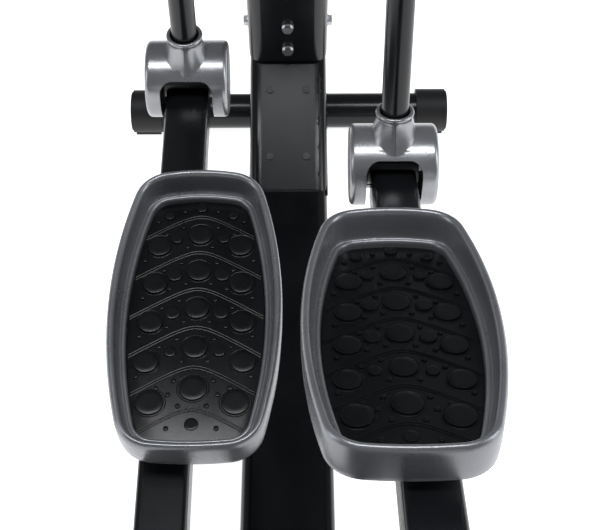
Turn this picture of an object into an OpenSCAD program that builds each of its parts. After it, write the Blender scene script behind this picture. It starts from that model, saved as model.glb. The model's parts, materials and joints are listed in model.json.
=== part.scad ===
// Rear-drive elliptical trainer: floor frame, mast, swinging levers, pedal arms,
// crank with flywheel drive, console. Millimetres, +Z up, +Y towards the mast,
// origin on the floor at the middle of the footprint.

/* [Linkage] */
// Height of the crank centre above the floor
crank_z = 388; // [384:1:392]
// Distance from the crank centre to the crank pin
crank_r = 187.5; // [184:0.5:189]
// Lean of the right crank behind vertical in the stored pose, degrees
crank_rest = 21.6; // [19:0.2:24]
// Distance from lower lever pivot to crank pin
arm_l = 1000; // [996:1:1004]
// Height of the lever axle above the floor
axle_z = 1049; // [1044:1:1054]
// Distance from the lever axle to the lower lever pivot
lever_l = 744; // [740:1:748]
// Distance of the lever and arm plane from the middle of the machine
plane_x = 127; // [126:0.5:129]

/* [Frame] */
// Width of the floor rail
rail_w = 110; // [104:1:114]
// Height of the rail's top face above the floor
rail_top = 89; // [85:1:91]
// Outside diameter of the cross tubes
cross_d = 54; // [50:1:56]
// Width of the mast tube
mast_w = 112; // [108:1:114]
// Depth of the mast tube
mast_d = 80; // [76:1:84]
// Length of the mast tube
mast_l = 977; // [965:1:985]

/* [Pedals] */
// Length of a pedal tray
pedal_l = 353; // [346:1:357]
// Greatest half width of a pedal tray
pedal_hw = 94; // [90:0.5:95]
// Width of the tray's rim
rim_w = 19; // [16:0.5:20]
// How far a tray sits inboard of its arm
pedal_in = 23.5; // [21:0.5:26]
// Number of large tread discs across a tread row
tread_n = 3; // [2, 3]

/* [Drive] */
// Radius of the crank cover discs
disc_r = 215; // [209:1:217]
// Radius of the drive pulley
pulley_r = 140; // [130:1:141]
// Radius of the flywheel sheave
sheave_r = 20; // [18:0.5:22]
// Radius of the flywheel
fly_r = 140; // [130:1:142]

/* [Hidden] */
$fn = 64;
axle_y = 552;
crank_y = -456;
fly_y = -704;
fly_z = 330;
cross_y = 851;
rear_y = -800;
cap_r = 33;
foot_y = 816;
foot_z = 202;
mast_lean = 12;
axle_r = 12.5;
lever_r = 16;
cover_r = 49;
cover_hw = 52;
arm_w = 54;
arm_h = 50;
arm_top = 5.5;
tray_y = -212 - pedal_l / 2;
floor_z = 30;
tray_set = 5.8;
mat_t = 4;
slope_y = 620;
neck_top = [779, 192];
shroud_r1 = 222;
shroud_r2 = 188;
shroud_x = 86;
wall = 3;
e = 0.05;

// side is -1 for left and 1 for right
function turn(a) = [cos(a), sin(a)];
crank_c = [crank_y, crank_z];
axle_c = [axle_y, axle_z];
fly_c = [fly_y, fly_z];
function pin(side) = crank_c + crank_r * turn(crank_rest + 90 * side);
function meet(p, rp, q, rq) =
    let (d = q - p, dd = norm(d), a = (rp * rp - rq * rq + dd * dd) / (2 * dd), h = sqrt(rp * rp - a * a))
    p + a * d / dd + h * [d[1], -d[0]] / dd;
function pivot(side) = meet(pin(side), arm_l, axle_c, lever_l);
function lean(side) = atan2(axle_c[0] - pivot(side)[0], axle_c[1] - pivot(side)[1]);
function slope(side) = atan2(pivot(side)[1] - pin(side)[1], pivot(side)[0] - pin(side)[0]);
axle_m = [cos(mast_lean) * (axle_y - foot_y) + sin(mast_lean) * (axle_z - foot_z),
    cos(mast_lean) * (axle_z - foot_z) - sin(mast_lean) * (axle_y - foot_y)];
neck_slope = atan2(neck_top[1] - rail_top, neck_top[0] - slope_y);
slope_l = norm(neck_top - [slope_y, rail_top]);

// ---- placing ----
module at_yz(c) translate([0, c[0], c[1]]) children();
module at_lever(side) translate([side * plane_x, axle_y, axle_z]) rotate([-lean(side), 0, 0]) children();
module at_pivot(side) at_lever(side) translate([0, 0, -lever_l]) children();
module at_arm(side)
    translate([side * plane_x, pivot(side)[0], pivot(side)[1]]) rotate([slope(side), 0, 0]) children();
module at_tray(side) at_arm(side) translate([tray_set - side * pedal_in, tray_y, 0]) children();
module at_mast() translate([0, foot_y, foot_z]) rotate([mast_lean, 0, 0]) children();
module at_slope() translate([0, slope_y, rail_top]) rotate([neck_slope, 0, 0]) children();
module at_console() translate([0, 612, 1240]) rotate([40, 0, 0]) children();
module both() for (s = [-1, 1]) scale([s, 1, 1]) children();

// ---- shared shapes ----
module rrect(w, h, r) {
    square([w - 2 * r, h], center = true);
    square([w, h - 2 * r], center = true);
    for (x = [-1, 1], y = [-1, 1]) translate([x * (w / 2 - r), y * (h / 2 - r)]) circle(r);
}
module across(r, x0, x1) translate([x0, 0, 0]) rotate([0, 90, 0]) cylinder(r = r, h = x1 - x0);
module slab(x0, x1) translate([x0, 0, 0]) rotate([90, 0, 90]) linear_extrude(x1 - x0) children();
module beam(w, h, r, y0, y1) translate([0, y1, 0]) rotate([90, 0, 0]) linear_extrude(y1 - y0) rrect(w, h, r);
module elbow(br, a, r)
    translate([br, 0, 0]) rotate([90, 0, 180]) rotate_extrude(angle = a) translate([br, 0]) circle(r);
module past(br, a) translate([br * (1 - cos(a)), 0, br * sin(a)]) rotate([0, a, 0]) children();
module hexbolt(r, shank) {
    cylinder(r = 2.1 * r, h = 2);
    translate([0, 0, 2]) cylinder(r = 1.85 * r, h = 5, $fn = 6);
    translate([0, 0, -shank]) cylinder(r = r, h = shank);
}
module loop(p, rp, q, rq) hull() {
    translate(p) circle(rp, $fn = 96);
    translate(q) circle(rq, $fn = 96);
}

// ---- floor frame ----
module base_rail() color([0.09, 0.09, 0.1]) difference() {
    h = rail_top - 36;
    translate([0, 0, 36 + h / 2]) beam(rail_w, h, 13, rear_y - 12, cross_y + 14);
    translate([0, 0, 36 + h / 2]) beam(rail_w - 2 * wall, h - 2 * wall, 10, rear_y + 45, cross_y - 45);
    at_yz([cross_y, cap_r]) across(cross_d / 2, -80, 80);
    at_yz([rear_y, cap_r]) across(cross_d / 2, -80, 80);
}
module cross_tube(y) at_yz([y, cap_r]) difference() {
    across(cross_d / 2, -212, 212);
    across(cross_d / 2 - wall, -209, 209);
}
module front_crossbar() color([0.08, 0.08, 0.09]) cross_tube(cross_y);
module rear_stabilizer() color([0.08, 0.08, 0.09]) cross_tube(rear_y);
module end_cap(y, dir) at_yz([y, 0]) difference() {
    union() {
        translate([0, 0, cap_r]) across(cap_r, 198, 243);
        translate([0, 0, cap_r]) across(cap_r - 3, 243, 245.5);
        translate([202, -6 * dir - 12, 0]) cube([39, 24, 20]);
    }
    translate([0, 0, cap_r]) across(cross_d / 2, 197, 212);
}
module front_end_caps() color([0.05, 0.05, 0.05]) both() difference() {
    end_cap(cross_y, 1);
    translate([214, cross_y - 4, -1]) cube([22, 60, 46]);
    at_yz([cross_y + 22, 21]) across(4, 212.5, 240);
}
module rear_end_caps() color([0.05, 0.05, 0.05]) both() end_cap(rear_y, -1);
module transport_wheel(side) at_yz([cross_y + 22, 21]) scale([side, 1, 1]) {
    across(19, 216, 234);
    across(3.95, 213, 239);
}
module transport_wheel_left() color([0.15, 0.15, 0.15]) transport_wheel(-1);
module transport_wheel_right() color([0.15, 0.15, 0.15]) transport_wheel(1);

// ---- neck and mast ----
module neck() color([0.08, 0.08, 0.09]) difference() {
    union() {
        slab(-rail_w / 2, rail_w / 2) polygon([[slope_y, rail_top], neck_top, [850, 206], [862, rail_top]]);
        at_mast() translate([0, 0, -20]) linear_extrude(200) rrect(mast_w - 2 * wall, mast_d - 2 * wall, 16);
    }
    slab(-rail_w / 2 + wall, rail_w / 2 - wall)
        polygon([[slope_y + 60, rail_top + wall], [790, 178], [835, 186], [846, rail_top + wall]]);
    at_mast() translate([0, 0, 12]) linear_extrude(170) rrect(mast_w - 4 * wall, mast_d - 4 * wall, 13);
    at_mast() mast_holes();
    at_slope() plate_holes(8);
}
module mast_holes() {
    for (z = [29, 77]) translate([0, -mast_d / 2 - 1, z]) rotate([-90, 0, 0]) cylinder(r = 4, h = 24);
    translate([0, 0, 44]) both() across(4, mast_w / 2 - 24, mast_w / 2 + 1);
}
module mast_tube() color([0.08, 0.08, 0.09]) difference() {
    at_mast() linear_extrude(mast_l) rrect(mast_w, mast_d, 19);
    at_mast() translate([0, 0, -1]) linear_extrude(mast_l - 4) rrect(mast_w - 2 * wall, mast_d - 2 * wall, 16);
    at_mast() mast_holes();
}
module mast_bolts() color([0.75, 0.75, 0.77]) at_mast() {
    for (z = [29, 77]) translate([0, -mast_d / 2, z]) rotate([90, 0, 0]) hexbolt(4, 20);
    for (s = [-1, 1]) translate([s * mast_w / 2, 0, 44]) rotate([0, 90 * s, 0]) hexbolt(4, 20);
}
module plate_holes(deep)
    for (x = [-25.7, 25.7], y = [49, 147]) translate([x, y, -deep]) cylinder(r = 3, h = deep + 10);
module neck_cover_plate() color([0.09, 0.09, 0.1]) at_slope() difference() {
    translate([-38.5, 1, 0]) cube([77, slope_l - 6, wall]);
    plate_holes(1);
}
module plate_screws() color([0.2, 0.2, 0.21]) at_slope()
    for (x = [-25.7, 25.7], y = [49, 147]) translate([x, y, wall]) difference() {
        union() {
            cylinder(r = 5.2, h = 2.6);
            translate([0, 0, -9]) cylinder(r = 3, h = 9);
        }
        translate([0, 0, 1]) cylinder(r = 2, h = 3, $fn = 6);
    }
module axle_bracket() color([0.08, 0.08, 0.09]) difference() {
    union() {
        at_yz(axle_c) across(22, -mast_w / 2 + 2, mast_w / 2 - 2);
        at_mast() translate([-36, -mast_d / 2 - 5, axle_m[1] - 48]) cube([72, 5, 68]);
        at_mast() both() slab(28, 34) polygon([
            [-mast_d / 2 - 1, axle_m[1] - 46], [-mast_d / 2 - 1, axle_m[1] + 18],
            [axle_m[0], axle_m[1] + 18], [axle_m[0], axle_m[1] - 18]
        ]);
    }
    at_yz(axle_c) across(axle_r, -90, 90);
}
module lever_axle() color([0.6, 0.6, 0.62]) at_yz(axle_c) {
    across(axle_r, -158, 158);
    both() across(18, mast_w / 2, plane_x - 25.5);
    both() across(20, plane_x + 25.5, 160);
}

// ---- drive ----
module crank_uprights() color([0.1, 0.1, 0.11]) {
    both() difference() {
        slab(38, 44) {
            loop(crank_c, 46, fly_c, 36);
            polygon([[-620, rail_top], [-300, rail_top], crank_c + [46, 0], crank_c - [46, 0]]);
            polygon([fly_c + [20, 0], fly_c + [80, 0], fly_c + [80, 166], fly_c + [44, 166]]);
        }
        at_yz(crank_c) across(32, 30, 50);
        at_yz(fly_c) across(20, 30, 50);
    }
    at_yz(fly_c + [62, 152]) across(5, -38, 38);
    translate([-44, -620, rail_top]) cube([88, 320, 4]);
}
module bearing_housing() color([0.12, 0.12, 0.13]) at_yz(crank_c) difference() {
    across(32, -48, 48);
    across(26, -49, 49);
}
module shaft_bearings() color([0.72, 0.72, 0.74]) {
    at_yz(crank_c) both() difference() {
        across(26, 34, 48);
        across(axle_r + e, 33, 49);
    }
    at_yz(fly_c) both() difference() {
        across(20, 36, 48);
        across(10 + e, 35, 49);
    }
}
module crank_axle() color([0.55, 0.55, 0.57]) at_yz(crank_c) across(axle_r, -94, 94);
module drive_pulley() color([0.7, 0.7, 0.72]) at_yz(crank_c) difference() {
    union() {
        across(pulley_r, 52, 68);
        across(28, 50, 76);
    }
    across(axle_r, 49, 77);
    for (x = [[51, 56], [64, 69]]) difference() {
        across(pulley_r - 14, x[0], x[1]);
        across(32, x[0] - 1, x[1] + 1);
    }
    for (i = [0:5]) rotate([60 * i, 0, 0]) translate([0, 0, 80]) across(26, 50, 70);
}
module flywheel_shaft() color([0.55, 0.55, 0.57]) at_yz(fly_c) {
    across(10, -54, 72);
    across(sheave_r, 52, 68);
}
module flywheel() color([0.3, 0.3, 0.32]) at_yz(fly_c) difference() {
    across(fly_r, -15, 15);
    for (x = [[-16, -6], [6, 16]]) difference() {
        across(fly_r - 24, x[0], x[1]);
        across(28, x[0] - 1, x[1] + 1);
    }
    across(10, -20, 20);
}
module drive_belt() color([0.05, 0.05, 0.05]) difference() {
    slab(54, 66) loop(crank_c, pulley_r + 3.5, fly_c, sheave_r + 3.5);
    slab(53, 67) loop(crank_c, pulley_r + 0.3, fly_c, sheave_r + 0.3);
}
module brake_bracket() color([0.6, 0.6, 0.62]) at_yz(fly_c) difference() {
    union() {
        translate([-24, -46, 146]) cube([48, 96, 5]);
        both() translate([20, -46, 96]) cube([4, 92, 52]);
        translate([0, 62, 152]) across(10, -24, 24);
        translate([-24, 44, 146]) cube([48, 20, 6]);
    }
    translate([0, 62, 152]) across(5 + e, -30, 30);
}
module brake_magnets() color([0.4, 0.4, 0.43]) at_yz(fly_c) both()
    for (y = [-34, -10, 14]) translate([17, y, 104]) cube([3, 20, 30]);

module shroud_shape(inset) {
    loop(crank_c, shroud_r1 - inset, fly_c, shroud_r2 - inset);
    polygon([[-640 + inset, 90 - inset], [-270 - inset, 90 - inset], [-262 - inset, 300], [-680 + inset, 300]]);
}
module shroud(side) scale([side, 1, 1]) difference() {
    slab(0.3, shroud_x) intersection() {
        shroud_shape(0);
        translate([-1000, 90]) square([1000, 600]);
    }
    slab(0, shroud_x - wall) intersection() {
        shroud_shape(wall);
        translate([-1000, 90 + wall]) square([1000, 600]);
    }
    translate([-1, -630, 80]) cube([51, 350, 20]);
    at_yz(crank_c) across(40, shroud_x - 10, shroud_x + 1);
}
module shroud_left() color([0.1, 0.1, 0.11]) shroud(-1);
module shroud_right() color([0.1, 0.1, 0.11]) shroud(1);

module crank_disc(side) at_yz(crank_c) scale([side, 1, 1]) difference() {
    union() {
        across(disc_r, 88, 96);
        across(36, 78, 89);
    }
    across(axle_r, 77, 94);
    difference() {
        across(disc_r - 12, 94, 97);
        across(disc_r - 15, 93, 98);
    }
}
module crank_disc_left() color([0.16, 0.16, 0.17]) crank_disc(-1);
module crank_disc_right() color([0.16, 0.16, 0.17]) crank_disc(1);

// ---- levers ----
module lever_tube(side) at_lever(side) difference() {
    union() {
        translate([0, 0, 32 - lever_l]) cylinder(r = lever_r, h = lever_l + 38);
        across(26, -25, 25);
        translate([-44, -15, 30 - lever_l]) cube([88, 30, 10]);
        both() translate([34, -15, -lever_l]) cube([10, 30, 40]);
        translate([0, 0, -lever_l]) both() across(15, 34, 44);
    }
    across(axle_r + e, -26, 26);
    translate([0, 0, 28]) cylinder(r = 13.1, h = 50);
    translate([0, 0, 60 - lever_l]) cylinder(r = 13, h = lever_l - 90);
    translate([0, 0, -lever_l]) across(8, -50, 50);
}
module lever_tube_left() color([0.08, 0.08, 0.09]) lever_tube(-1);
module lever_tube_right() color([0.08, 0.08, 0.09]) lever_tube(1);
module handle_base(side) at_lever(side) scale([side, 1, 1]) translate([0, 0, 80]) rotate([0, 0, -28]) children();
module handle_run(side)
    handle_base(side) past(70, 40) translate([0, 0, 130]) rotate([0, 0, 180]) past(70, 40) children();
module upper_handle(side) {
    at_lever(side) translate([0, 0, 29]) cylinder(r = 13, h = 52);
    handle_base(side) {
        elbow(70, 40, 13 + e);
        past(70, 40) translate([0, 0, -1]) cylinder(r = 13, h = 132);
        past(70, 40) translate([0, 0, 130]) rotate([0, 0, 180]) elbow(70, 40, 13 + e);
    }
    handle_run(side) translate([0, 0, -1]) cylinder(r = 13, h = 291);
}
module upper_handle_left() color([0.08, 0.08, 0.09]) upper_handle(-1);
module upper_handle_right() color([0.08, 0.08, 0.09]) upper_handle(1);
module lever_grip(side) handle_run(side) {
    translate([0, 0, 24]) difference() {
        cylinder(r = 18, h = 266);
        translate([0, 0, -1]) cylinder(r = 13, h = 268);
    }
    translate([0, 0, 290]) cylinder(r1 = 18.5, r2 = 14, h = 12);
}
module lever_grip_left() color([0.06, 0.06, 0.06]) lever_grip(-1);
module lever_grip_right() color([0.06, 0.06, 0.06]) lever_grip(1);
module pivot_cover(side) at_pivot(side) difference() {
    union() {
        across(cover_r, -cover_hw, cover_hw);
        translate([0, 0, 36]) cylinder(r1 = 36, r2 = 22, h = 30);
        translate([0, 0, 66]) cylinder(r = 22, h = 24);
    }
    across(cover_r - 4, -cover_hw + 4, cover_hw - 4);
    cylinder(r = lever_r, h = 100);
    slab(-33, 33) polygon([[0, 0], for (a = [139, 178, 215, 252, 292]) 90 * turn(a)]);
}
module pivot_cover_left() color([0.42, 0.43, 0.45]) pivot_cover(-1);
module pivot_cover_right() color([0.42, 0.43, 0.45]) pivot_cover(1);
module pivot_pin(side) at_pivot(side) {
    across(8, -46, 46);
    both() across(12, 44, 47.5);
}
module pivot_pin_left() color([0.7, 0.7, 0.72]) pivot_pin(-1);
module pivot_pin_right() color([0.7, 0.7, 0.72]) pivot_pin(1);

// ---- pedal arms ----
module pedal_arm(side) at_arm(side) difference() {
    union() {
        translate([0, 0, arm_top - arm_h / 2]) beam(arm_w, arm_h, 7, -arm_l + 6, -13);
        across(23, -30, 30);
        translate([0, -arm_l, 0]) across(27, -27, 27);
        translate([-24, tray_y - 66, arm_top - 1]) cube([48, 132, 20]);
        translate([tray_set - side * pedal_in - 52, tray_y - 95, 20]) cube([104, 190, 6]);
    }
    translate([0, 0, arm_top - arm_h / 2])
        beam(arm_w - 2 * wall, arm_h - 2 * wall, 4, -arm_l + 40, -40);
    across(8 + e, -31, 31);
    translate([0, -arm_l, 0]) across(10, -31, 31);
    translate([tray_set - side * pedal_in, tray_y, 0]) tray_bolt_spots() translate([0, 0, 15]) cylinder(r = 4, h = 20);
}
module tray_bolt_spots() for (x = [-40, 40], y = [-78, 78]) translate([x, y, 0]) children();
module pedal_arm_left() color([0.08, 0.08, 0.09]) pedal_arm(-1);
module pedal_arm_right() color([0.08, 0.08, 0.09]) pedal_arm(1);
module crank_pin(side) at_arm(side) translate([0, -arm_l, 0]) scale([side, 1, 1]) {
    across(10, -30, 30);
    across(24, 27, 32);
}
module crank_pin_left() color([0.6, 0.6, 0.62]) crank_pin(-1);
module crank_pin_right() color([0.6, 0.6, 0.62]) crank_pin(1);

side_r = 560;
module tray_outline(inset) offset(r = 42 - inset, $fn = 64) offset(delta = -42) intersection() {
    translate([pedal_hw - side_r, -8]) circle(side_r, $fn = 180);
    translate([side_r - pedal_hw, -8]) circle(side_r, $fn = 180);
    translate([0, pedal_l / 2 - 215]) circle(215, $fn = 128);
    translate([0, 420 - pedal_l / 2]) circle(420, $fn = 128);
}
module pedal_shell(side) at_tray(side) difference() {
    translate([0, 0, 18]) linear_extrude(58) tray_outline(0);
    translate([0, pedal_l / 2, 73]) rotate([2.6, 0, 0]) translate([-120, -400, 0]) cube([240, 420, 60]);
    translate([0, 0, floor_z]) linear_extrude(60) tray_outline(rim_w);
    translate([0, 0, 17]) linear_extrude(9) tray_outline(5);
    tray_bolt_spots() cylinder(r = 4, h = 29);
}
module pedal_shell_left() color([0.26, 0.27, 0.28]) pedal_shell(-1);
module pedal_shell_right() color([0.26, 0.27, 0.28]) pedal_shell(1);
module pedal_mat(side) at_tray(side) translate([0, 0, floor_z]) {
    linear_extrude(mat_t) tray_outline(rim_w + 0.5);
    for (row = [-2:2]) for (i = [0:tread_n - 1])
        translate([(i - (tread_n - 1) / 2) * 46, row * 50 - 12 * abs(i - (tread_n - 1) / 2), 0])
            cylinder(r = 14, h = mat_t + 1.2);
}
module pedal_mat_left() color([0.04, 0.04, 0.04]) pedal_mat(-1);
module pedal_mat_right() color([0.04, 0.04, 0.04]) pedal_mat(1);
module pedal_bolts(side) at_tray(side) tray_bolt_spots() {
    translate([0, 0, 14]) cylinder(r = 7.4, h = 6, $fn = 6);
    translate([0, 0, 14]) cylinder(r = 4, h = 14.5);
}
module pedal_bolts_left() color([0.72, 0.72, 0.74]) pedal_bolts(-1);
module pedal_bolts_right() color([0.72, 0.72, 0.74]) pedal_bolts(1);

// ---- fixed handlebar and console ----
bar_rise = 22;
module at_bar() at_mast() translate([0, -mast_d / 2 - 14, mast_l - 40]) rotate([-mast_lean, 0, 0]) children();
module bar_half() {
    translate([46, 0, 0]) rotate([0, 90, 0]) rotate([0, 0, -90 - bar_rise]) elbow(42, 90, 12.7 + e);
    bar_straight() cylinder(r = 12.7, h = 190);
}
module bar_straight() translate([46, 0, 0]) rotate([0, 90, 0]) rotate([0, 0, -90 - bar_rise]) past(42, 90) children();
module fixed_handlebar() color([0.08, 0.08, 0.09]) {
    at_bar() across(12.7, -46, 46);
    at_bar() both() bar_half();
    at_mast() translate([-30, -mast_d / 2 - 30, mast_l - 57]) cube([60, 30, 34]);
}
module handlebar_grips() color([0.06, 0.06, 0.06]) at_bar() both() bar_straight() {
    for (z = [14, 120]) translate([0, 0, z]) difference() {
        cylinder(r = 16.5, h = z > 100 ? 70 : 44);
        translate([0, 0, -1]) cylinder(r = 12.7, h = 80);
    }
    translate([0, 0, 190]) cylinder(r1 = 16.5, r2 = 13, h = 6);
}
module pulse_sensors() color([0.7, 0.7, 0.72]) at_bar() both() bar_straight() translate([0, 0, 58]) difference() {
    cylinder(r = 15.6, h = 62);
    translate([0, 0, -1]) cylinder(r = 12.7, h = 64);
}
module console_shell(z0, z1, grow) translate([0, 0, z0]) linear_extrude(z1 - z0) rrect(224 + grow, 176 + grow, 24);
module console_bracket() color([0.1, 0.1, 0.11]) difference() {
    at_mast() translate([-32, -24, mast_l]) cube([64, 48, 90]);
    at_console() console_shell(-32, 60, 0);
}
module console_back() color([0.09, 0.09, 0.1]) at_console() difference() {
    console_shell(-32, 0, 0);
    translate([0, 0, -29]) linear_extrude(30) rrect(218, 170, 21);
}
module console_front() color([0.14, 0.14, 0.15]) at_console() difference() {
    console_shell(0, 12, 0);
    translate([0, 0, -1]) linear_extrude(9) rrect(216, 168, 20);
    translate([0, 24, 7]) linear_extrude(6) rrect(150, 90, 8);
    for (i = [0:3]) translate([button_x(i), -54, -1]) cylinder(r = 9.4, h = 20);
}
module console_screen() color([0.3, 0.38, 0.36]) at_console() translate([0, 24, 7.5]) linear_extrude(3.5) rrect(149.6, 89.6, 7.8);
function button_x(i) = (i - 1.5) * 42;
module button(i) at_console() translate([button_x(i), -54, 0]) {
    translate([0, 0, 3]) cylinder(r = 9, h = 11);
    translate([0, 0, 1]) cylinder(r = 11, h = 3);
}
module button_up() color([0.55, 0.55, 0.57]) button(0);
module button_down() color([0.55, 0.55, 0.57]) button(1);
module button_mode() color([0.55, 0.55, 0.57]) button(2);
module button_start() color([0.15, 0.5, 0.25]) button(3);

base_rail();
front_crossbar();
front_end_caps();
neck();
neck_cover_plate();
plate_screws();
mast_tube();
mast_bolts();
axle_bracket();
lever_axle();
rear_stabilizer();
rear_end_caps();
crank_uprights();
bearing_housing();
shaft_bearings();
shroud_left();
shroud_right();
drive_belt();
fixed_handlebar();
handlebar_grips();
pulse_sensors();
console_bracket();
console_back();
console_front();
console_screen();
button_up();
button_down();
button_mode();
button_start();
transport_wheel_left();
transport_wheel_right();
crank_axle();
drive_pulley();
crank_disc_left();
crank_disc_right();
flywheel();
flywheel_shaft();
brake_bracket();
brake_magnets();
lever_tube_left();
lever_tube_right();
upper_handle_left();
upper_handle_right();
lever_grip_left();
lever_grip_right();
pivot_cover_left();
pivot_cover_right();
pivot_pin_left();
pivot_pin_right();
pedal_arm_left();
pedal_arm_right();
crank_pin_left();
crank_pin_right();
pedal_shell_left();
pedal_shell_right();
pedal_mat_left();
pedal_mat_right();
pedal_bolts_left();
pedal_bolts_right();
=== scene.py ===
import json
import math
import random

import bmesh
import bpy
from mathutils import Matrix, Vector


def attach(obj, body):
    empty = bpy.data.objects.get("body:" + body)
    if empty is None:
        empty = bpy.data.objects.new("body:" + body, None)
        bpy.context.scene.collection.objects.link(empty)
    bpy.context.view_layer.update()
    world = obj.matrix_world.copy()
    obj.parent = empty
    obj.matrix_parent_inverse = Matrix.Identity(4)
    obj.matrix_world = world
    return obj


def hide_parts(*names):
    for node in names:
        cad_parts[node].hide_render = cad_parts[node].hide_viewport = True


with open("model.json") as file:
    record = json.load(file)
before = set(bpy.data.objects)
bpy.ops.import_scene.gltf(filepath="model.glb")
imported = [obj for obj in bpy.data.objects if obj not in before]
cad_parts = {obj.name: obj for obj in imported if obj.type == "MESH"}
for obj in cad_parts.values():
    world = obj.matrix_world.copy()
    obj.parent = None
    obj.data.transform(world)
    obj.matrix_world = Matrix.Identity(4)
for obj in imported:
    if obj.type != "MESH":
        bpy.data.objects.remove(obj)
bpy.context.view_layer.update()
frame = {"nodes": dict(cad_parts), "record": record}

random.seed(7)
MM = 0.001
SIDES = (("left", -1), ("right", 1))

# ---- linkage, in millimetres, as in the part's source ----
CRANK_Y, CRANK_Z, CRANK_R, REST = -456.0, 388.0, 187.5, 21.6
AXLE_Y, AXLE_Z, LEVER_L, ARM_L, PLANE_X = 552.0, 1049.0, 744.0, 1000.0, 127.0
FOOT_Y, FOOT_Z, MAST_LEAN, MAST_W, MAST_D, MAST_L = 816.0, 202.0, 12.0, 112.0, 80.0, 977.0
PEDAL_L, PEDAL_HW, PEDAL_IN, TRAY_SET = 353.0, 94.0, 23.5, 5.8
TRAY_Y = -212.0 - PEDAL_L / 2
RAIL_TOP, SLOPE_Y, NECK_TOP = 89.0, 620.0, (779.0, 192.0)
CROSS_Y, REAR_Y, CAP_R = 851.0, -800.0, 33.0
FLYWHEEL_Y, FLYWHEEL_Z, HOUSING_X = -704, 330, 86


def rot(deg, axis):
    return Matrix.Rotation(math.radians(deg), 4, axis)


def shift(x, y, z):
    return Matrix.Translation((x, y, z))


def crank_pin(side):
    a = math.radians(REST + 90 * side)
    return CRANK_Y + CRANK_R * math.cos(a), CRANK_Z + CRANK_R * math.sin(a)


def lower_pivot(side):
    p, q = crank_pin(side), (AXLE_Y, AXLE_Z)
    d = (q[0] - p[0], q[1] - p[1])
    dd = math.hypot(*d)
    a = (ARM_L**2 - LEVER_L**2 + dd * dd) / (2 * dd)
    h = math.sqrt(ARM_L**2 - a * a)
    return p[0] + a * d[0] / dd + h * d[1] / dd, p[1] + a * d[1] / dd - h * d[0] / dd


def at_lever(side):
    q = lower_pivot(side)
    lean = math.degrees(math.atan2(AXLE_Y - q[0], AXLE_Z - q[1]))
    return shift(side * PLANE_X, AXLE_Y, AXLE_Z) @ rot(-lean, "X")


def at_pivot(side):
    return at_lever(side) @ shift(0, 0, -LEVER_L)


def at_arm(side):
    q, p = lower_pivot(side), crank_pin(side)
    slope = math.degrees(math.atan2(q[1] - p[1], q[0] - p[0]))
    return shift(side * PLANE_X, q[0], q[1]) @ rot(slope, "X")


def at_tray(side):
    return at_arm(side) @ shift(TRAY_SET - side * PEDAL_IN, TRAY_Y, 0)


def at_mast():
    return shift(0, FOOT_Y, FOOT_Z) @ rot(MAST_LEAN, "X")


def at_slope():
    tilt = math.degrees(math.atan2(NECK_TOP[1] - RAIL_TOP, NECK_TOP[0] - SLOPE_Y))
    return shift(0, SLOPE_Y, RAIL_TOP) @ rot(tilt, "X")


def past(bend, deg):
    """The frame at the far end of a tube bend of radius bend."""
    a = math.radians(deg)
    return shift(bend * (1 - math.cos(a)), 0, bend * math.sin(a)) @ rot(deg, "Y")


# ---- mesh building: pieces are drawn in millimetres and scaled once, in mesh() ----
class Piece:
    def __init__(self):
        self.verts = []
        self.faces = []

    def loft(self, rings, cyclic=False, caps=True, m=None):
        n = len(rings[0])
        start = len(self.verts)
        for ring in rings:
            for p in ring:
                v = Vector(p)
                self.verts.append(m @ v if m else v)
        count = len(rings)
        for i in range(count if cyclic else count - 1):
            a, b = start + i * n, start + ((i + 1) % count) * n
            for j in range(n):
                k = (j + 1) % n
                self.faces.append((a + j, a + k, b + k, b + j))
        if caps and not cyclic:
            self.faces.append(tuple(start + j for j in reversed(range(n))))
            self.faces.append(tuple(start + (count - 1) * n + j for j in range(n)))

    def lathe(self, profile, segs=64, m=None, cyclic=False):
        rings = []
        for r, z in profile:
            ring = []
            for j in range(segs):
                a = 2 * math.pi * j / segs
                ring.append((r * math.cos(a), r * math.sin(a), z))
            rings.append(ring)
        self.loft(rings, cyclic=cyclic, m=m)

    def tube(self, path, radii, segs=10, m=None):
        path = [Vector(p) for p in path]
        rings = []
        up = Vector((0.13, 0.21, 0.97))
        for i, p in enumerate(path):
            t = (path[min(i + 1, len(path) - 1)] - path[max(i - 1, 0)]).normalized()
            s = t.cross(up).normalized()
            up = s.cross(t).normalized()
            r = radii[i] if isinstance(radii, list) else radii
            ring = []
            for j in range(segs):
                a = 2 * math.pi * j / segs
                ring.append(p + r * (math.cos(a) * s + math.sin(a) * up))
            rings.append(ring)
        self.loft(rings, m=m)

    def mesh(self, name, smooth_deg=34):
        me = bpy.data.meshes.new(name)
        me.from_pydata([v * MM for v in self.verts], [], self.faces)
        settle(me, smooth_deg)
        return me


def settle(me, smooth_deg=34):
    bm = bmesh.new()
    bm.from_mesh(me)
    bmesh.ops.recalc_face_normals(bm, faces=bm.faces)
    limit = math.radians(smooth_deg)
    for f in bm.faces:
        f.smooth = True
    for e in bm.edges:
        e.smooth = len(e.link_faces) == 2 and e.calc_face_angle(0) < limit
    bm.to_mesh(me)
    bm.free()


def place(name, me, body, slot, replaces=()):
    """Puts a mesh in the scene on its body, with its material slot and the CAD nodes it stands for."""
    obj = bpy.data.objects.new(name, me)
    bpy.context.scene.collection.objects.link(obj)
    me.materials.clear()
    me.materials.append(MATERIALS[slot])
    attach(obj, body)
    if replaces:
        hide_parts(*replaces)
    return obj


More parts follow.
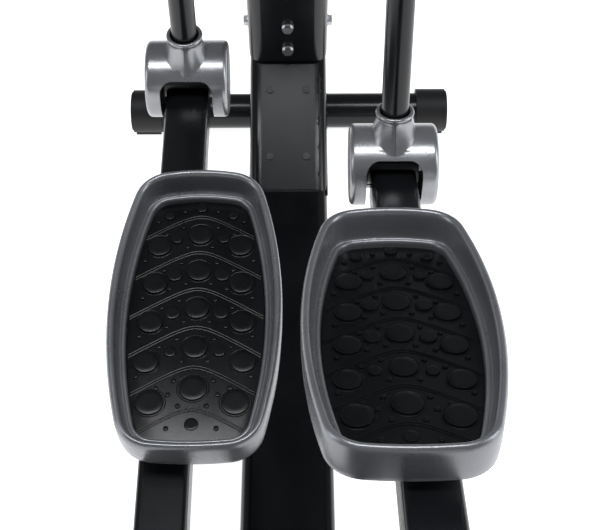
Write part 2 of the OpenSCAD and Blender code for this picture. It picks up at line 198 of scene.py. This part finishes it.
def carve(me, cutters, name):
    """Joins or cuts a solid: cutters is a list of (Piece, operation), applied in order."""
    obj = bpy.data.objects.new(name + "_work", me)
    bpy.context.scene.collection.objects.link(obj)
    helpers = []
    for i, (piece, how) in enumerate(cutters):
        tool = bpy.data.objects.new(name + "_tool", piece.mesh(name + "_tool"))
        bpy.context.scene.collection.objects.link(tool)
        helpers.append(tool)
        mod = obj.modifiers.new("b%d" % i, "BOOLEAN")
        mod.operation = how
        mod.solver = "EXACT"
        mod.object = tool
    deps = bpy.context.evaluated_depsgraph_get()
    out = bpy.data.meshes.new_from_object(obj.evaluated_get(deps))
    out.name = name
    for o in helpers + [obj]:
        bpy.data.objects.remove(o, do_unlink=True)
    bm = bmesh.new()
    bm.from_mesh(out)
    bmesh.ops.remove_doubles(bm, verts=bm.verts, dist=2e-5)
    bm.to_mesh(out)
    bm.free()
    settle(out, 32)
    return out


# ---- materials ----
MATERIALS = {}
BROAD_SCALE = 14
GRAIN_DEPTH = 0.0004
GLOSS_SPREAD = (0.88, 1.14)
SCREEN_GLOW = 0.15


def material(slot, base, rough, metal=0.0, grain=900.0, bump=0.12, vary=0.25, spec=0.5,
             streak=None, coat=0.0, emit=None):
    """A surface with fine grain in its relief, and broad, faint changes of tone and gloss."""
    mat = bpy.data.materials.new(slot)
    mat.use_nodes = True
    nt = mat.node_tree
    bsdf = nt.nodes["Principled BSDF"]
    bsdf.inputs["Metallic"].default_value = metal
    bsdf.inputs["Specular IOR Level"].default_value = spec
    bsdf.inputs["Coat Weight"].default_value = coat
    bsdf.inputs["Coat Roughness"].default_value = 0.2
    coords = nt.nodes.new("ShaderNodeTexCoord")
    fine = nt.nodes.new("ShaderNodeTexNoise")
    fine.inputs["Scale"].default_value = grain
    fine.inputs["Detail"].default_value = 3
    broad = nt.nodes.new("ShaderNodeTexNoise")
    broad.inputs["Scale"].default_value = BROAD_SCALE
    broad.inputs["Detail"].default_value = 5
    broad.inputs["Roughness"].default_value = 0.6
    nt.links.new(coords.outputs["Object"], fine.inputs["Vector"])
    if streak:
        mapping = nt.nodes.new("ShaderNodeMapping")
        mapping.inputs["Scale"].default_value = streak
        nt.links.new(coords.outputs["Object"], mapping.inputs["Vector"])
        nt.links.new(mapping.outputs["Vector"], fine.inputs["Vector"])
    nt.links.new(coords.outputs["Object"], broad.inputs["Vector"])
    tone = nt.nodes.new("ShaderNodeValToRGB")
    tone.color_ramp.elements[0].position = 0.3
    tone.color_ramp.elements[1].position = 0.72
    tone.color_ramp.elements[0].color = [c * (1 - vary) for c in base] + [1]
    tone.color_ramp.elements[1].color = [c * (1 + vary) for c in base] + [1]
    nt.links.new(broad.outputs["Fac"], tone.inputs["Fac"])
    nt.links.new(tone.outputs["Color"], bsdf.inputs["Base Color"])
    gloss = nt.nodes.new("ShaderNodeMapRange")
    gloss.inputs["From Min"].default_value = 0.3
    gloss.inputs["From Max"].default_value = 0.7
    gloss.inputs["To Min"].default_value = rough * GLOSS_SPREAD[0]
    gloss.inputs["To Max"].default_value = min(1.0, rough * GLOSS_SPREAD[1])
    nt.links.new(broad.outputs["Fac"], gloss.inputs["Value"])
    nt.links.new(gloss.outputs["Result"], bsdf.inputs["Roughness"])
    lift = nt.nodes.new("ShaderNodeBump")
    lift.inputs["Strength"].default_value = bump
    lift.inputs["Distance"].default_value = GRAIN_DEPTH
    nt.links.new(fine.outputs["Fac"], lift.inputs["Height"])
    nt.links.new(lift.outputs["Normal"], bsdf.inputs["Normal"])
    if emit:
        bsdf.inputs["Emission Color"].default_value = (*emit, 1)
        bsdf.inputs["Emission Strength"].default_value = SCREEN_GLOW
    MATERIALS[slot] = mat


material("powder_black", (0.0045, 0.0052, 0.0062), 0.22, grain=420, bump=0.07, vary=0.18, spec=0.38)
material("cap_black", (0.010, 0.010, 0.0105), 0.55, grain=1500, bump=0.28, spec=0.4)
material("cover_grey", (0.31, 0.315, 0.328), 0.26, metal=0.75, grain=2600, bump=0.10, vary=0.06)
material("pedal_grey", (0.23, 0.235, 0.248), 0.28, metal=0.6, grain=2400, bump=0.14, vary=0.10)
material("mat_rubber", (0.0035, 0.0038, 0.0045), 0.27, grain=1900, bump=0.13, vary=0.25, spec=0.28)
material("foam", (0.016, 0.016, 0.017), 0.85, grain=1300, bump=0.75, vary=0.25, spec=0.2)
material("zinc", (0.62, 0.63, 0.65), 0.30, metal=1.0, grain=160, bump=0.15, vary=0.12)
material("steel", (0.46, 0.46, 0.48), 0.26, metal=1.0, grain=90, bump=0.2, vary=0.10, streak=(14, 1, 1))
material("screw_black", (0.035, 0.035, 0.038), 0.30, metal=0.8, grain=500, bump=0.15)
material("iron", (0.10, 0.10, 0.105), 0.50, metal=0.9, grain=260, bump=0.6, vary=0.25)
material("pulley", (0.52, 0.53, 0.55), 0.36, metal=1.0, grain=200, bump=0.3)
material("magnet", (0.40, 0.40, 0.42), 0.28, metal=1.0, grain=300, bump=0.1)
material("belt", (0.012, 0.012, 0.012), 0.62, grain=260, bump=0.7, spec=0.3, streak=(9, 1, 1))
material("shroud_black", (0.013, 0.0135, 0.015), 0.40, grain=1700, bump=0.32, vary=0.12)
material("disc_grey", (0.045, 0.047, 0.052), 0.35, metal=0.3, grain=1500, bump=0.2, vary=0.10)
material("console_black", (0.014, 0.0145, 0.016), 0.38, grain=1700, bump=0.3, vary=0.12)
material("console_face", (0.06, 0.062, 0.068), 0.45, grain=1500, bump=0.3, vary=0.10)
material("screen", (0.12, 0.16, 0.14), 0.12, grain=300, bump=0.02, vary=0.05, coat=0.6,
         emit=(0.16, 0.21, 0.18))
material("button_grey", (0.26, 0.265, 0.28), 0.55, grain=1500, bump=0.25)
material("button_green", (0.02, 0.20, 0.06), 0.5, grain=1500, bump=0.25)

for part in frame["record"]["subparts"]:
    obj = frame["nodes"][part["node"]]
    if not obj.material_slots:
        obj.data.materials.append(None)
    for held in obj.material_slots:
        held.material = MATERIALS[part["material_slot"]]


# ---- foot trays ----
# The outline is where four discs overlap, each (x, y, radius), grown by CORE so that the corners are round.
CORE = 42.0
SIDE_ARC, FRONT_ARC, REAR_ARC, WIDEST_Y = 560.0, 215, 420, -8.0
ARCS = (
    (PEDAL_HW - SIDE_ARC, WIDEST_Y, SIDE_ARC - CORE),
    (SIDE_ARC - PEDAL_HW, WIDEST_Y, SIDE_ARC - CORE),
    (0.0, PEDAL_L / 2 - FRONT_ARC, FRONT_ARC - CORE),
    (0.0, REAR_ARC - PEDAL_L / 2, REAR_ARC - CORE),
)
LOOP_STEPS, LOOP_POINTS = 7200, 176


def tray_corner(a, b, sx, sy):
    """Where discs a and b cross in the quadrant of signs sx, sy."""
    dx, dy = b[0] - a[0], b[1] - a[1]
    dd = math.hypot(dx, dy)
    t = (a[2] ** 2 - b[2] ** 2 + dd * dd) / (2 * dd)
    h = math.sqrt(a[2] ** 2 - t * t)
    best = None
    for s in (-1, 1):
        p = (a[0] + t * dx / dd - s * h * dy / dd, a[1] + t * dy / dd + s * h * dx / dd)
        if p[0] * sx > 0 and p[1] * sy > 0:
            best = p
    return best


CORNERS = [
    tray_corner(ARCS[0] if sx > 0 else ARCS[1], ARCS[2] if sy > 0 else ARCS[3], sx, sy)
    for sx in (-1, 1) for sy in (-1, 1)
]


def tray_support(phi):
    """The outline's point whose outward normal points along phi, and that normal."""
    n = (math.cos(phi), math.sin(phi))
    best = max(CORNERS, key=lambda p: p[0] * n[0] + p[1] * n[1])
    for cx, cy, r in ARCS:
        p = (cx + r * n[0], cy + r * n[1])
        if all(math.hypot(p[0] - c[0], p[1] - c[1]) <= c[2] + 1e-6 for c in ARCS):
            best = p
    return (best[0] + CORE * n[0], best[1] + CORE * n[1]), n


def tray_loop(count):
    """The outline as evenly spaced points with their normals."""
    dense = [tray_support(2 * math.pi * i / LOOP_STEPS) for i in range(LOOP_STEPS + 1)]
    run = [0.0]
    for (a, _), (b, _) in zip(dense, dense[1:]):
        run.append(run[-1] + math.hypot(b[0] - a[0], b[1] - a[1]))
    out, k = [], 0
    for i in range(count):
        want = run[-1] * i / count
        while run[k + 1] < want:
            k += 1
        span = run[k + 1] - run[k]
        t = (want - run[k]) / span if span else 0
        (a, n), (b, _) = dense[k], dense[k + 1]
        out.append(((a[0] + t * (b[0] - a[0]), a[1] + t * (b[1] - a[1])), n))
    return out


LOOP = tray_loop(LOOP_POINTS)
RIM_FRONT, RIM_RISE_DEG = 73.0, 2.6
WALL_LOW, WALL_DROP = 43.0, 6.8


def tray_ring(inset, height):
    """height is a number or a function of y giving the ring's z."""
    ring = []
    for (p, n) in LOOP:
        x, y = p[0] - inset * n[0], p[1] - inset * n[1]
        ring.append((x, y, height(p[1]) if callable(height) else height))
    return ring


def rim(drop):
    """The rim's height along y, less drop: it rises towards the front."""
    return lambda y: RIM_FRONT + (y - PEDAL_L / 2) * math.tan(math.radians(RIM_RISE_DEG)) - drop


def wall(share):
    """A height part of the way up the inner wall."""
    top = rim(WALL_DROP)
    return lambda y: WALL_LOW + share * (top(y) - WALL_LOW)


# The shell's section from the skirt's foot, over the rim, down to the mat: (inset, height).
SHELL_PROFILE = [
    (5.0, 26.0), (5.0, 18.6), (4.4, 18.0), (2.9, 18.0), (2.3, 18.8), (1.6, 24.0), (0.8, 30.0), (0.35, 37.0),
    (0.05, rim(12.0)), (0.0, rim(8.0)), (0.15, rim(5.6)), (0.7, rim(3.4)), (1.7, rim(1.6)), (3.1, rim(0.4)),
    (4.6, rim(0.0)), (6.1, rim(0.3)), (7.5, rim(1.3)), (8.5, rim(2.8)), (9.1, rim(4.6)),
    (9.5, rim(WALL_DROP)), (10.1, wall(0.66)), (10.8, wall(0.33)), (11.6, WALL_LOW),
    (12.1, 41.2), (12.8, 40.2), (13.6, 40.1), (14.3, 40.9), (15.3, 41.6), (16.5, 41.7), (17.7, 41.1),
    (18.5, 39.8), (18.9, 38.0), (19.0, 35.0), (19.0, 30.0),
]


def pedal_shell(side, word):
    piece = Piece()
    piece.loft([tray_ring(d, h) for d, h in SHELL_PROFILE], m=at_tray(side))
    me = piece.mesh("foot_tray_" + word, 60)
    place("foot_tray_" + word, me, "pedal_arm_set_" + word, "pedal_grey", ["pedal_shell_" + word])


# ---- tread mats: discs, dots and double ridges ----
MAT_TOP = 34.0
PEAKS = (136.0, 85.5, 35.0, -15.5, -66.0, -117.0)
RIDGE_R, RIDGE_LIFT, RIDGE_GAP, RIDGE_SPAN, RIDGE_INSET = 0.85, 0.25, 3.4, 80, 20.6
RIDGE_SLOPE, RIDGE_ROUND = 0.66, 18.0
DISC_R, LAST_DISC_R, DISC_H = 13.5, 15.0, 2.3
DOT_R, DOT_H = 2.7, 1.9
EDGE_H = 2.2
DOTS = [(20, -16), (38.5, -26), (14, -44), (61, -63)]
LAST_DOTS = [(21, -18), (26, -35), (15, -48.5), (39, -27)]


def on_mat(x, y, inset):
    return all(math.hypot(x - cx, y - cy) <= r + CORE - inset for cx, cy, r in ARCS)


def disc(piece, m, x, y, r, high):
    if not on_mat(x, y, 20.5 + r):
        return
    top = MAT_TOP + high
    c = min(0.5, r * 0.2)
    profile = [(r + 0.35, MAT_TOP - 0.6), (r + 0.2, MAT_TOP + 0.3), (r, top - c),
               (r - 0.3 * c, top - 0.3 * c), (r - c, top), (r * 0.6, top + 0.05), (r * 0.2, top + 0.06)]
    piece.lathe(profile, 14 if r < 4 else 44, m @ shift(x, y, 0))


def moat(piece, m, x, y, r):
    """The low ring of rubber around a disc."""
    if not on_mat(x, y, 22.5 + r):
        return
    piece.lathe([(r + 1.5, MAT_TOP - 0.4), (r + 1.6, MAT_TOP + 0.45), (r + 2.0, MAT_TOP + 0.6),
                 (r + 2.5, MAT_TOP + 0.4), (r + 2.8, MAT_TOP - 0.4)], 44, m @ shift(x, y, 0), cyclic=True)


def ridge_y(x, peak):
    return peak - RIDGE_SLOPE * (math.hypot(x, RIDGE_ROUND) - RIDGE_ROUND)


def ridge(piece, m, peak):
    path = []
    for x in range(-RIDGE_SPAN, RIDGE_SPAN + 1):
        y = ridge_y(x, peak)
        if on_mat(x, y, RIDGE_INSET):
            path.append((x, y, MAT_TOP + RIDGE_LIFT))
    piece.tube(path, RIDGE_R, 8, m)


def ringed_disc(piece, m, x, y, r):
    disc(piece, m, x, y, r, DISC_H)
    moat(piece, m, x, y, r)


def dot(piece, m, x, y):
    disc(piece, m, x, y, DOT_R, DOT_H)


def pedal_mat(side, word):
    m = at_tray(side)
    piece = Piece()
    base = [(19.3, 30.2), (19.3, 33.4), (19.5, 33.8), (20.0, MAT_TOP)]
    piece.loft([tray_ring(d, h) for d, h in base], m=m)
    for peak in PEAKS:
        ridge(piece, m, peak)
        ridge(piece, m, peak - RIDGE_GAP)
    for k, peak in enumerate(PEAKS[:5]):
        last = k == 4
        big = LAST_DISC_R if last else DISC_R
        ringed_disc(piece, m, 0, peak - 27, big)
        for s in (-1, 1):
            wide = (45, -44) if last else (46 + 2.0 * min(k, 3), -43 - 1.0 * min(k, 2))
            ringed_disc(piece, m, s * wide[0], peak + wide[1], big)
            if not last:
                disc(piece, m, s * 26.5, peak - 32.5, 6.6 if k in (0, 3) else 8.6, DISC_H)
            dots = LAST_DOTS if last else DOTS + [(32, -51)] * (k in (1, 2))
            for x, y in dots:
                dot(piece, m, s * x, peak + y)
    disc(piece, m, 0, PEAKS[5] - 19, 7.2, 1.4)
    disc(piece, m, 0, PEAKS[0] + 12, 6.6, EDGE_H)
    for s in (-1, 1):
        dot(piece, m, s * 26, PEAKS[5] - 24)
        disc(piece, m, s * 36.5, PEAKS[0] + 1, 6.2, EDGE_H)
        dot(piece, m, s * 19, PEAKS[0] + 7)
        dot(piece, m, s * 49, PEAKS[0] - 8)
    place("tread_mat_" + word, piece.mesh("tread_mat_" + word), "pedal_arm_set_" + word, "mat_rubber",
          ["pedal_mat_" + word])


# ---- pivot covers ----
DRUM_R, DRUM_HALF, DRUM_FILLET = 49, 52, 6.5
CAVITY_R, CAVITY_HALF, CAVITY_FILLET = 45.2, 48, 5


def drum_profile(r, half, fillet, steps=7):
    """A drum's half section along its axis, with rounded rims."""
    pts = []
    for i in range(steps + 1):
        a = math.pi / 2 * i / steps
        pts.append((r - fillet + fillet * math.sin(a), -half + fillet - fillet * math.cos(a)))
    flat = 8
    for i in range(1, flat):
        pts.append((r, -half + fillet + (2 * half - 2 * fillet) * i / flat))
    for i in range(steps + 1):
        a = math.pi / 2 * (1 - i / steps)
        pts.append((r - fillet + fillet * math.sin(a), half - fillet + fillet * math.cos(a)))
    return [(4.0, -half)] + pts + [(4.0, half)]


# The socket's flared neck and rolled lip: (radius, height above the pivot).
SOCKET = [(20, 20), (36.5, 22), (35.6, 30), (33.0, 36.5), (29.6, 43), (26.6, 49.5), (24.4, 56), (22.8, 62),
          (21.6, 67), (21.2, 70.5), (21.6, 72.4), (22.4, 73.8), (22.7, 75.3), (22.2, 76.8), (21.2, 77.7),
          (20.0, 78.0), (18.4, 77.5), (17.4, 76.0), (17.0, 73.0), (17.0, 56.0), (8, 56)]


def arch(half, low, high, r, y0, y1, steps=10):
    """A prism along y with rounded top corners, as two rings."""
    pts = [(-half, low), (half, low)]
    for i in range(steps + 1):
        a = math.pi / 2 * i / steps
        pts.append((half - r + r * math.cos(a), high - r + r * math.sin(a)))
    for i in range(steps + 1):
        a = math.pi / 2 * (1 + i / steps)
        pts.append((-half + r + r * math.cos(a), high - r + r * math.sin(a)))
    return [[(x, y, z) for x, z in pts] for y in (y0, y1)]


def pivot_cover(side, word):
    m = at_pivot(side)
    turned = m @ rot(90, "Y")
    drum, cavity, socket, notch = Piece(), Piece(), Piece(), Piece()
    drum.lathe(drum_profile(DRUM_R, DRUM_HALF, DRUM_FILLET), 112, turned)
    cavity.lathe(drum_profile(CAVITY_R, CAVITY_HALF, CAVITY_FILLET), 96, turned)
    socket.lathe(SOCKET, 96, m)
    notch.loft(arch(33, -62, 31.5, 15, -62, 15), m=m)
    me = carve(drum.mesh("drum"), [(socket, "UNION"), (cavity, "DIFFERENCE"), (notch, "DIFFERENCE")],
               "pivot_drum_" + word)
    place("pivot_drum_" + word, me, "lever_" + word, "cover_grey", ["pivot_cover_" + word])
    seam = Piece()
    path = [(0, -r - 0.02, z) for r, z in SOCKET[2:15]]
    seam.tube(path, 0.28, 6, m)
    place("pivot_seam_" + word, seam.mesh("pivot_seam_" + word), "lever_" + word, "cap_black")


# ---- grips ----
# The upper handle: rise, splay, bend out, straight run, bend back. The fixed bar: stub, turn, bend.
HANDLE_RISE, HANDLE_SPLAY, HANDLE_BEND, HANDLE_TURN, HANDLE_RUN = 80, -28, 70, 40, 130
BAR_BACK, BAR_BELOW, BAR_STUB, BAR_TWIST, BAR_BEND = 14, 40, 46, -112, 42
HAND_GRIP_R, HAND_PLUG_R, HAND_CORE_R = 18.6, 18.3, 13.2
BAR_GRIP_R, BAR_PLUG_R, BAR_CORE_R = 17.2, 16.4, 12.9
FOAM_WAVE = 1.1


def grip_profile(r, z0, z1, wave, core):
    n = max(8, int((z1 - z0) / 3))
    outer = []
    for i in range(n + 1):
        t = i / n
        z = z0 + t * (z1 - z0)
        end = min(t, 1 - t) * (z1 - z0)
        bead = 1.6 * math.exp(-((end - 5) / 4) ** 2)
        fall = 2.2 * max(0.0, 1 - end / 2.5) ** 2
        outer.append((r - 1.2 + 0.25 * math.sin(wave * z) + bead * 0.7 - fall, z))
    return [(core, z0)] + outer + [(core, z1)]


def foam_grip(name, m, r, z0, z1, core, body, replaces):
    piece = Piece()
    piece.lathe(grip_profile(r, z0, z1, FOAM_WAVE, core), 48, m, cyclic=True)
    obj = place(name, piece.mesh(name, 50), body, "foam", replaces)


def end_plug(name, m, r0, r1, z0, z1, body):
    piece = Piece()
    piece.lathe([(r0 * 0.5, z0), (r0 - 0.5, z0), (r0, z0 + 1), (r0, z0 + 4), (r1 + 1.5, z1 - 2.2),
                 (r1, z1 - 0.6), (r1 - 2.5, z1), (2, z1)], 48, m)
    place(name, piece.mesh(name), body, "cap_black")


def handle_run(side):
    flip = Matrix.Diagonal((side, 1, 1, 1))
    base = at_lever(side) @ flip @ shift(0, 0, HANDLE_RISE) @ rot(HANDLE_SPLAY, "Z")
    bend = past(HANDLE_BEND, HANDLE_TURN)
    return base @ bend @ shift(0, 0, HANDLE_RUN) @ rot(180, "Z") @ bend


def bar_straight(side):
    flip = Matrix.Diagonal((side, 1, 1, 1))
    bar = at_mast() @ shift(0, -MAST_D / 2 - BAR_BACK, MAST_L - BAR_BELOW) @ rot(-MAST_LEAN, "X") @ flip
    return bar @ shift(BAR_STUB, 0, 0) @ rot(90, "Y") @ rot(BAR_TWIST, "Z") @ past(BAR_BEND, 90)


# ---- frame details ----
WELD_RING_R, SPATTER_R = 27.4, 28.6
NECK_HALF, NECK_SINK, NECK_FRONT, NECK_BEVEL = 55, 13, (850.0, 206.0), 14
SCREW_HEAD = [(1.5, -1), (4.2, -1), (4.4, 0.6), (3.6, 1.6), (2.2, 1.8), (1.9, 0.9), (0.8, 0.8)]
SCREW_CIRCLE, SCREW_ANGLES = 178, (104, 146)
VENT_Y, VENT_STEP, VENT_COUNT, VENT_R = -800, 9, 7, 1.7


def weld(piece, path, r, m=None):
    """A bead with the ripples and uneven width of hand welding."""
    path = [Vector(p) for p in path]
    fine = []
    for a, b in zip(path, path[1:]):
        steps = max(1, int((b - a).length / 1.0))
        fine += [a.lerp(b, i / steps) for i in range(steps)]
    fine.append(path[-1])
    radii, run = [], random.random() * 6
    for i in range(len(fine)):
        run += 1.0
        radii.append(r * (1 + 0.16 * math.sin(run * 1.7) + 0.10 * (random.random() - 0.5)))
    for i in range(1, len(fine) - 1):
        fine[i] = fine[i] + Vector([0.18 * (random.random() - 0.5) for _ in range(3)])
    piece.tube(fine, radii, 10, m)


def ring_path(x, y, z, r, a0, a1, steps=40):
    out = []
    for i in range(steps + 1):
        a = math.radians(a0 + (a1 - a0) * i / steps)
        out.append((x, y + r * math.cos(a), z + r * math.sin(a)))
    return out


def welds():
    piece = Piece()
    low = RAIL_TOP - 7
    for s in (-1, 1):
        weld(piece, ring_path(s * 55.6, CROSS_Y, CAP_R, WELD_RING_R, 0, 360), 3.0)
        weld(piece, ring_path(s * 55.4, REAR_Y, CAP_R, WELD_RING_R, 0, 360), 2.8)
        weld(piece, [(s * 54.0, SLOPE_Y - 2, low), (s * 54.6, 740, low), (s * 54.6, 858, low)], 2.2)
    weld(piece, [(-44, SLOPE_Y - 1.5, RAIL_TOP), (44, SLOPE_Y - 1.5, RAIL_TOP)], 2.0)
    slope = at_slope()
    weld(piece, [(44.5, 4, -1.4), (44.5, 172, -1.4)], 1.5, slope)
    for along in (22, 61, 96, 104, 143, 160):
        weld(piece, [(43.4, along, -0.6), (45.4, along + 5, -1.0)], 2.3, slope)
    for s in (-1, 1):
        for i in range(7):
            a = math.radians(100 + 22 * i + 6 * random.random())
            y, z = CROSS_Y + SPATTER_R * math.cos(a), CAP_R + SPATTER_R * math.sin(a)
            weld(piece, [(s * 55.0, y, z), (s * 59.0, y - 1.5 + 3 * random.random(), z + 1.5)], 2.6)
    place("weld_beads", piece.mesh("weld_beads", 60), "frame", "powder_black")


def rounded_neck():
    """The neck's visible outer skin, with the pressed steel's rounded long edges."""
    tilt = (NECK_TOP[1] - RAIL_TOP) / (NECK_TOP[0] - SLOPE_Y)
    low = RAIL_TOP - NECK_SINK
    outline = [(SLOPE_Y - NECK_SINK / tilt, low), NECK_TOP, NECK_FRONT, (862.0, low)]
    bm = bmesh.new()
    left = [bm.verts.new((-NECK_HALF * MM, y * MM, z * MM)) for y, z in outline]
    right = [bm.verts.new((NECK_HALF * MM, y * MM, z * MM)) for y, z in outline]
    bm.faces.new(left)
    bm.faces.new(list(reversed(right)))
    n = len(outline)
    for i in range(n):
        k = (i + 1) % n
        bm.faces.new((left[i], right[i], right[k], left[k]))
    bmesh.ops.recalc_face_normals(bm, faces=bm.faces)
    edges = []
    for e in bm.edges:
        a, b = e.verts
        same_side = abs(a.co.x - b.co.x) < 1e-6
        above = max(a.co.z, b.co.z) > (low + 1) * MM
        if same_side and above:
            edges.append(e)
    bmesh.ops.bevel(bm, geom=edges, offset=NECK_BEVEL * MM, segments=8, profile=0.5, affect="EDGES",
                    clamp_overlap=True)
    me = bpy.data.meshes.new("neck_skin")
    bm.to_mesh(me)
    bm.free()
    settle(me, 25)
    return me


def arm_end_plugs():
    """A round cap over each crank pin's outer end."""
    for word, side in SIDES:
        m = at_arm(side)
        piece = Piece()
        flip = m @ shift(0, -ARM_L, 0) @ rot(90 * side, "Y")
        piece.lathe([(3, 32.5), (17, 32.5), (20, 33.0), (21, 34.5), (20.2, 36.2), (17.5, 37.0), (12.5, 37.2),
                     (12.0, 36.2), (6.0, 36.0), (2, 36.0)], 48, flip)
        place("crank_cap_" + word, piece.mesh("crank_cap_" + word), "pedal_arm_set_" + word, "cap_black")


def housing_trim():
    """Screw heads and a ribbed vent on each side of the drive housing."""
    piece = Piece()
    for s in (-1, 1):
        for a in SCREW_ANGLES:
            y = FLYWHEEL_Y + SCREW_CIRCLE * math.cos(math.radians(a))
            z = FLYWHEEL_Z + SCREW_CIRCLE * math.sin(math.radians(a))
            piece.lathe(SCREW_HEAD, 20, shift(s * HOUSING_X, y, z) @ rot(90 * s, "Y"))
        for i in range(VENT_COUNT):
            y = VENT_Y + VENT_STEP * i
            rib = [(86.0, 300), (86.4, 310), (86.4, 352), (86.0, 362)]
            piece.tube([(s * x, y, z) for x, z in rib], VENT_R, 8)
    place("housing_trim", piece.mesh("housing_trim"), "frame", "shroud_black")


for word, side in SIDES:
    pedal_shell(side, word)
    pedal_mat(side, word)
    pivot_cover(side, word)
    run = handle_run(side)
    foam_grip("hand_grip_" + word, run, HAND_GRIP_R, 24, 290, HAND_CORE_R, "lever_" + word,
              ["lever_grip_" + word])
    end_plug("hand_plug_" + word, run, HAND_PLUG_R, 14, 289, 302, "lever_" + word)
    bar = bar_straight(side)
    stands_for = ["handlebar_grips"] if side < 0 else []
    foam_grip("bar_grip_lower_" + word, bar, BAR_GRIP_R, 14, 58, BAR_CORE_R, "frame", stands_for)
    foam_grip("bar_grip_upper_" + word, bar, BAR_GRIP_R, 120, 190, BAR_CORE_R, "frame", [])
    end_plug("bar_plug_" + word, bar, BAR_PLUG_R, 13, 189, 196, "frame")
place("neck_skin", rounded_neck(), "frame", "powder_black", ["neck"])
welds()
arm_end_plugs()
housing_trim()

# ---- floor, light, camera ----
REACH, FLOOR_Z = 60.0, -0.0004
floor_me = bpy.data.meshes.new("studio_floor")
quadrants = ((-1, -1), (1, -1), (1, 1), (-1, 1))
corners = [(sx * REACH, sy * REACH, FLOOR_Z) for sx, sy in quadrants]
floor_me.from_pydata(corners, [], [(0, 1, 2, 3)])
floor = bpy.data.objects.new("studio_floor", floor_me)
bpy.context.scene.collection.objects.link(floor)
floor_mat = bpy.data.materials.new("studio_floor")
floor_mat.use_nodes = True
floor_bsdf = floor_mat.node_tree.nodes["Principled BSDF"]
floor_bsdf.inputs["Base Color"].default_value = (0.9, 0.9, 0.9, 1)
floor_bsdf.inputs["Roughness"].default_value = 0.9
floor_bsdf.inputs["Specular IOR Level"].default_value = 0.0
floor_bsdf.inputs["Emission Color"].default_value = (1, 1, 1, 1)
floor_bsdf.inputs["Emission Strength"].default_value = 0.9
floor_me.materials.append(floor_mat)


def soft_light(name, where, aim, size, watts, tint=(1, 1, 1)):
    data = bpy.data.lights.new(name, "AREA")
    data.shape = "RECTANGLE"
    data.size, data.size_y = size
    data.energy = watts
    data.color = tint
    obj = bpy.data.objects.new(name, data)
    obj.location = where
    obj.rotation_euler = (Vector(aim) - Vector(where)).to_track_quat("-Z", "Y").to_euler()
    bpy.context.scene.collection.objects.link(obj)


soft_light("overhead", (0, 0.12, 3.4), (0, 0.15, 0.3), (2.6, 0.62), 62, (0.97, 0.98, 1))
soft_light("side_left", (-3.0, -0.2, 1.5), (0, 0.3, 0.5), (1.0, 2.0), 18, (0.95, 0.97, 1))
soft_light("side_right", (3.0, 0.1, 1.6), (0, 0.3, 0.5), (1.2, 2.2), 32, (0.95, 0.97, 1))
soft_light("behind", (0.3, -3.4, 1.2), (0, 0.2, 0.4), (2.2, 0.5), 4)

world = bpy.data.worlds.new("studio")
world.use_nodes = True
world.node_tree.nodes["Background"].inputs["Color"].default_value = (0.9, 0.94, 1, 1)
world.node_tree.nodes["Background"].inputs["Strength"].default_value = 0.2
bpy.context.scene.world = world

# The camera that the photo was taken with: angles in degrees, lengths in its pixels, place in metres.
TILT, YAW, ROLL, FOCAL_PX, WIDTH_PX = 48.88, -0.17, -0.37, 1294.8, 591.0
SHIFT_X_PX, SHIFT_Y_PX = -0.64, 2.0
SENSOR_MM = 36
EYE = (0.0141, -0.6735, 1.4052)
cam_data = bpy.data.cameras.new("camera")
cam_data.sensor_width = SENSOR_MM
cam_data.sensor_fit = "HORIZONTAL"
cam_data.lens = SENSOR_MM * FOCAL_PX / WIDTH_PX
cam_data.shift_x = SHIFT_X_PX / WIDTH_PX
cam_data.shift_y = SHIFT_Y_PX / WIDTH_PX
cam = bpy.data.objects.new("camera", cam_data)
e, yaw, roll = (math.radians(v) for v in (TILT, YAW, ROLL))
ahead = Vector((math.sin(yaw) * math.cos(e), math.cos(yaw) * math.cos(e), -math.sin(e)))
right = Vector((math.cos(yaw), -math.sin(yaw), 0))
up = right.cross(ahead)
right, up = right * math.cos(roll) + up * math.sin(roll), up * math.cos(roll) - right * math.sin(roll)
basis = Matrix((right, up, -ahead)).transposed().to_4x4()
basis.translation = EYE
cam.matrix_world = basis
bpy.context.scene.collection.objects.link(cam)
bpy.context.scene.camera = cam
bpy.context.scene.view_settings.view_transform = "Standard"
